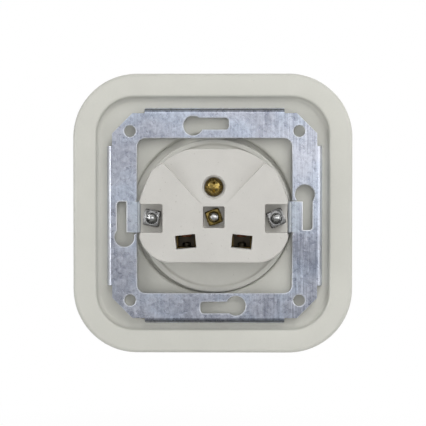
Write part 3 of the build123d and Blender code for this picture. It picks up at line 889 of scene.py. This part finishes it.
class SOCKET_OT_screws(bpy.types.Operator):
    """Make the screws, with a thread wound round each core"""
    bl_idname = "socket.screws"
    bl_label = "Threaded screws"

    def execute(self, context):
        # node, finish, slot, axis, sign of the tip, radius, head thickness
        screws = (
            ("strap_screw_right", "side_screw", "zinc_steel", 1, 1, 1.5 * MM, 1.6 * MM),
            ("strap_screw_left", "side_screw", "zinc_steel", 1, 1, 1.5 * MM, 1.6 * MM),
            ("centre_screw", "centre_screw", "zinc_steel", 1, 1, 1.5 * MM, 2.0 * MM),
            ("earth_screw", "earth_screw", "brass", 1, -1, 2.0 * MM, 2.2 * MM),
            ("clamp_screw_right", "dull_steel", "zinc_steel", 2, 1, 1.5 * MM, 1.7 * MM),
            ("clamp_screw_left", "dull_steel", "zinc_steel", 2, 1, 1.5 * MM, 1.7 * MM),
        )
        for row in screws:
            threaded_screw(*row)
        return {"FINISHED"}


def threaded_screw(node, finish, slot, axis, tip_sign, radius, head):
    """A screw whose shank is a thinner core with a helical ridge round it."""
    s = sizes()
    low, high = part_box(node)
    centre = middle(node)
    base = low[axis] if tip_sign > 0 else high[axis]
    tip = high[axis] if tip_sign > 0 else low[axis]
    under_head = base + tip_sign * head
    bm = merged_copy(node)
    core = radius - s.thread_depth
    slim_shank(bm, centre, axis, tip_sign, under_head, radius, core)
    name = node + "_finished"
    piece = new_piece(name, rounded_mesh(bm, name, s.metal_edge), finish, slot, node)
    modifier = piece.modifiers.new("thread", "NODES")
    modifier.node_group = thread_tree()
    start = centre.copy()
    start[axis] = under_head + tip_sign * 0.45 * s.thread_pitch
    towards_y = (math.radians(-90 * tip_sign), 0, 0)
    values = {
        "Core radius": core,
        "Thread depth": s.thread_depth,
        "Pitch": s.thread_pitch,
        "Run": abs(tip - under_head) - 1.2 * s.thread_pitch,
        "Start": tuple(start),
        "Direction": towards_y if axis == 1 else (0, 0, 0),
        "Finish": finish_named(finish),
    }
    for item in modifier.node_group.interface.items_tree:
        if item.item_type == "SOCKET" and item.in_out == "INPUT" and item.name in values:
            modifier[item.identifier] = values[item.name]
    made = evaluated(piece)
    piece.modifiers.remove(modifier)
    old = piece.data
    piece.data = made
    bpy.data.meshes.remove(old)
    made.name = name


def slim_shank(bm, centre, axis, tip_sign, under_head, radius, core):
    """Bring the shank in to the thread's core, and leave what lies near its axis."""
    for v in bm.verts:
        past = (v.co[axis] - under_head) * tip_sign
        across = v.co - centre
        across[axis] = 0.0
        on_shank = past > 0.05 * MM or (past > -0.01 * MM and across.length < radius * 1.02)
        if on_shank and across.length > 0.6 * core:
            slim = centre + across * (core / radius)
            slim[axis] = v.co[axis]
            v.co = slim


def thread_tree():
    """Geometry nodes that wind a ridge of triangular section round a core."""
    name = "wound_thread"
    if name in bpy.data.node_groups:
        return bpy.data.node_groups[name]
    tree = bpy.data.node_groups.new(name, "GeometryNodeTree")
    inputs = (
        ("Geometry", "Geometry"), ("Core radius", "Float"), ("Thread depth", "Float"), ("Pitch", "Float"),
        ("Run", "Float"), ("Start", "Vector"), ("Direction", "Rotation"), ("Finish", "Material"))
    for label, kind in inputs:
        tree.interface.new_socket(label, in_out="INPUT", socket_type="NodeSocket" + kind)
    tree.interface.new_socket("Geometry", in_out="OUTPUT", socket_type="NodeSocketGeometry")
    t = Shading(tree)
    given = {label: t.node("NodeGroupInput", out=label) for label, kind in inputs}
    spiral = t.node("GeometryNodeCurveSpiral", None, {
        "Resolution": 28, "Rotations": given["Run"] / given["Pitch"], "Start Radius": given["Core radius"],
        "End Radius": given["Core radius"], "Height": given["Run"]})
    along = t.node("GeometryNodeSplineParameter", out="Factor")
    height = t.smooth(along, 0.0, 0.06, 0.35, 1.0) * t.smooth(along, 0.9, 1.0, 1.0, 0.2)
    ridge = t.node("GeometryNodeSetCurveRadius", None, {"Curve": spiral, "Radius": height})
    section = t.node("GeometryNodeCurvePrimitiveCircle", None, {
        "Resolution": 3, "Radius": given["Thread depth"]})
    wound = t.node("GeometryNodeCurveToMesh", None, {
        "Curve": ridge, "Profile Curve": section, "Fill Caps": True})
    placed = t.node("GeometryNodeTransform", None, {
        "Geometry": wound, "Translation": given["Start"], "Rotation": given["Direction"]})
    joined = t.node("GeometryNodeJoinGeometry", None, {"Geometry": given["Geometry"]})
    t.feed(joined.socket.node.inputs["Geometry"], placed)
    real = t.node("GeometryNodeRealizeInstances", None, {"Geometry": joined})
    painted = t.node("GeometryNodeSetMaterial", None, {"Geometry": real, "Material": given["Finish"]})
    t.node("NodeGroupOutput", None, {"Geometry": painted})
    return tree


class SOCKET_OT_earth(bpy.types.Operator):
    """Make the earth bracket with its spring clips, the link and the washer"""
    bl_idname = "socket.earth"
    bl_label = "Earth contact"

    def execute(self, context):
        edge = sizes().metal_edge
        softened_piece("earth_bracket", edge, "bronze", "spring_bronze")
        softened_piece("earth_link", edge, "brass", "brass")
        softened_piece("earth_washer", edge, "aged_brass", "brass")
        return {"FINISHED"}


class SOCKET_OT_contacts(bpy.types.Operator):
    """Make the contacts, their springs and the terminal cages on both sides"""
    bl_idname = "socket.contacts"
    bl_label = "Contacts and terminals"

    def execute(self, context):
        edge = sizes().metal_edge
        for side in ("right", "left"):
            softened_piece("contact_" + side, edge, "copper", "copper")
            softened_piece("contact_spring_" + side, edge, "zinc_fastener", "zinc_steel")
            softened_piece("terminal_cage_" + side, edge, "dark_brass", "brass")
        return {"FINISHED"}


# Stage

def area_lamp(name, place, size, power, mirrored):
    """A square soft lamp that faces the socket, and shows in metal only if it is mirrored."""
    lamp = bpy.data.lights.new(name, "AREA")
    lamp.shape = "SQUARE"
    lamp.size = size
    lamp.energy = power
    holder = bpy.data.objects.new(name, lamp)
    holder.location = place
    holder.rotation_euler = facing(-Vector(place))
    holder.visible_glossy = mirrored
    bpy.context.collection.objects.link(holder)


def facing(way):
    """The turn of a lamp or a camera that looks along a way."""
    return way.to_track_quat("-Z", "Y").to_euler()


def white_seen(t, seen, unseen):
    """Mix two shaders by whether the camera, a reflection or a refraction looks at them."""
    looks = [t.node("ShaderNodeLightPath", out=kind)
             for kind in ("Is Camera Ray", "Is Glossy Ray", "Is Transmission Ray")]
    either = looks[0] + looks[1]
    share = t.node("ShaderNodeMath", {"operation": "ADD", "use_clamp": True}, {0: either, 1: looks[2]})
    return t.node("ShaderNodeMixShader", None, {"Fac": share, 1: unseen, 2: seen})


def studio_world(stage):
    """White behind the socket, and a grey room with pale side walls on the lens's side."""
    world = bpy.data.worlds.new("studio")
    world.use_nodes = True
    t = Shading(world.node_tree)
    t.tree.nodes.clear()
    white = (1.0, 1.0, 1.0)
    x, y, z = t.split(t.node("ShaderNodeTexCoord", out="Generated"))
    room = stage.room_level + t.smooth(z - 1.2 * x, -0.25, 0.25, -stage.room_tilt, stage.room_tilt)
    ends = t.smooth(abs(z), 0.30, 0.75)
    walls = t.smooth(abs(x), 0.40, 0.85)
    room = room + ends * (stage.room_ends - room)
    room = room + walls * (1.0 - room)
    mirrored = t.node("ShaderNodeLightPath", out="Is Glossy Ray")
    level = 1.0 + mirrored * t.smooth(y, -0.1, 0.45) * (room - 1.0)
    seen = t.node("ShaderNodeBackground", None, {"Color": white, "Strength": level})
    even = t.node("ShaderNodeBackground", None, {"Color": white, "Strength": stage.world_level})
    t.node("ShaderNodeOutputWorld", None, {"Surface": white_seen(t, seen, even)})
    return world


def floor_material(stage):
    """Pale floor that shows white, keeps part of the shadow and mirrors darker on the lens's side."""
    material = bpy.data.materials.new("pale_floor")
    material.use_nodes = True
    t = Shading(material.node_tree)
    t.tree.nodes.clear()
    plain = t.node("ShaderNodeBsdfDiffuse", None, {"Color": (0.86, 0.86, 0.86)})
    place = t.node("ShaderNodeTexCoord", out="Object")
    depth = t.split(place)[1]
    mirrored = t.node("ShaderNodeLightPath", out="Is Glossy Ray")
    near = t.smooth(depth, 0.10, 0.40, 0.6 * stage.room_ends, stage.room_floor)
    dimmed = 1.0 - mirrored * t.smooth(depth, -0.10, -0.01) * (1.0 - near)
    glow = t.node("ShaderNodeEmission", None, {"Color": (1.0, 1.0, 1.0), "Strength": dimmed})
    away = t.node("ShaderNodeVectorMath", {"operation": "LENGTH"}, {0: place}, out="Value")
    share = t.smooth(away, 0.10, 0.22, 0.9, 1.0)
    kept = t.node("ShaderNodeMixShader", None, {"Fac": share, 1: plain, 2: glow})
    t.node("ShaderNodeOutputMaterial", None, {"Surface": white_seen(t, kept, plain)})
    return material


class SOCKET_OT_stage(bpy.types.Operator):
    """Set up the floor, the lamps, the world and the camera"""
    bl_idname = "socket.stage"
    bl_label = "Studio stage"

    def execute(self, context):
        stage = context.scene.socket_stage
        floor_z = CAD_BOX[0].z - stage.floor_drop
        reach = 3.0
        mesh = bpy.data.meshes.new("floor")
        mesh.from_pydata([(-reach, -reach, floor_z), (reach, -reach, floor_z),
                          (reach, reach, floor_z), (-reach, reach, floor_z)], [], [(0, 1, 2, 3)])
        mesh.materials.append(floor_material(stage))
        floor = bpy.data.objects.new("floor", mesh)
        context.collection.objects.link(floor)
        # name, place, side, watts, whether metal mirrors it
        lamps = (
            ("key", (-0.20, 0.45, 0.45), 0.40, stage.key_power, False),
            ("front", (0.0, 0.90, 0.14), 0.35, stage.front_power, False),
            ("side_lit", (-0.55, 0.34, 0.06), 0.40, stage.side_power, True),
            ("side_fill", (0.55, 0.34, 0.06), 0.25, stage.fill_power, True),
            ("room_upper", (-0.35, -0.50, 0.45), 0.45, stage.room_side_power, False),
            ("room_front", (0.25, -0.80, 0.10), 0.45, stage.room_side_power, False),
        )
        for row in lamps:
            area_lamp(*row)
        context.scene.world = studio_world(stage)
        context.scene.view_settings.view_transform = "Standard"
        lens = bpy.data.cameras.new("camera")
        lens.sensor_width = 36.0
        lens.lens = stage.focal_length
        lens.clip_start = 0.01
        lens.clip_end = 20.0
        camera = bpy.data.objects.new("camera", lens)
        camera.location = (stage.camera_side, stage.camera_distance, stage.camera_rise)
        camera.rotation_euler = facing(Vector((stage.aim_side, 0.0, stage.aim_rise)) - camera.location)
        context.collection.objects.link(camera)
        context.scene.camera = camera
        return {"FINISHED"}


OPERATORS = (
    SOCKET_OT_cover_frame,
    SOCKET_OT_insert,
    SOCKET_OT_block,
    SOCKET_OT_strap,
    SOCKET_OT_nuts,
    SOCKET_OT_screws,
    SOCKET_OT_earth,
    SOCKET_OT_contacts,
    SOCKET_OT_stage,
)


class SOCKET_PT_panel(bpy.types.Panel):
    """The socket's operators and settings"""
    bl_idname = "SOCKET_PT_panel"
    bl_label = "Ceramic socket"
    bl_space_type = "VIEW_3D"
    bl_region_type = "UI"
    bl_category = "Socket"

    def draw(self, context):
        for operator in OPERATORS:
            self.layout.operator(operator.bl_idname)
        for group in (sizes(), colours(), context.scene.socket_stage):
            box = self.layout.box()
            for key in group.__annotations__:
                box.prop(group, key)


CLASSES = (SocketSizes, SocketColours, SocketStage) + OPERATORS + (SOCKET_PT_panel,)


def register():
    for cls in CLASSES:
        bpy.utils.register_class(cls)
    bpy.types.Scene.socket_sizes = bpy.props.PointerProperty(type=SocketSizes)
    bpy.types.Scene.socket_colours = bpy.props.PointerProperty(type=SocketColours)
    bpy.types.Scene.socket_stage = bpy.props.PointerProperty(type=SocketStage)


def unregister():
    del bpy.types.Scene.socket_stage
    del bpy.types.Scene.socket_colours
    del bpy.types.Scene.socket_sizes
    for cls in reversed(CLASSES):
        bpy.utils.unregister_class(cls)


def main():
    register()
    for operator in OPERATORS:
        group, name = operator.bl_idname.split(".")
        getattr(getattr(bpy.ops, group), name)()


if __name__ == "__main__":
    main()
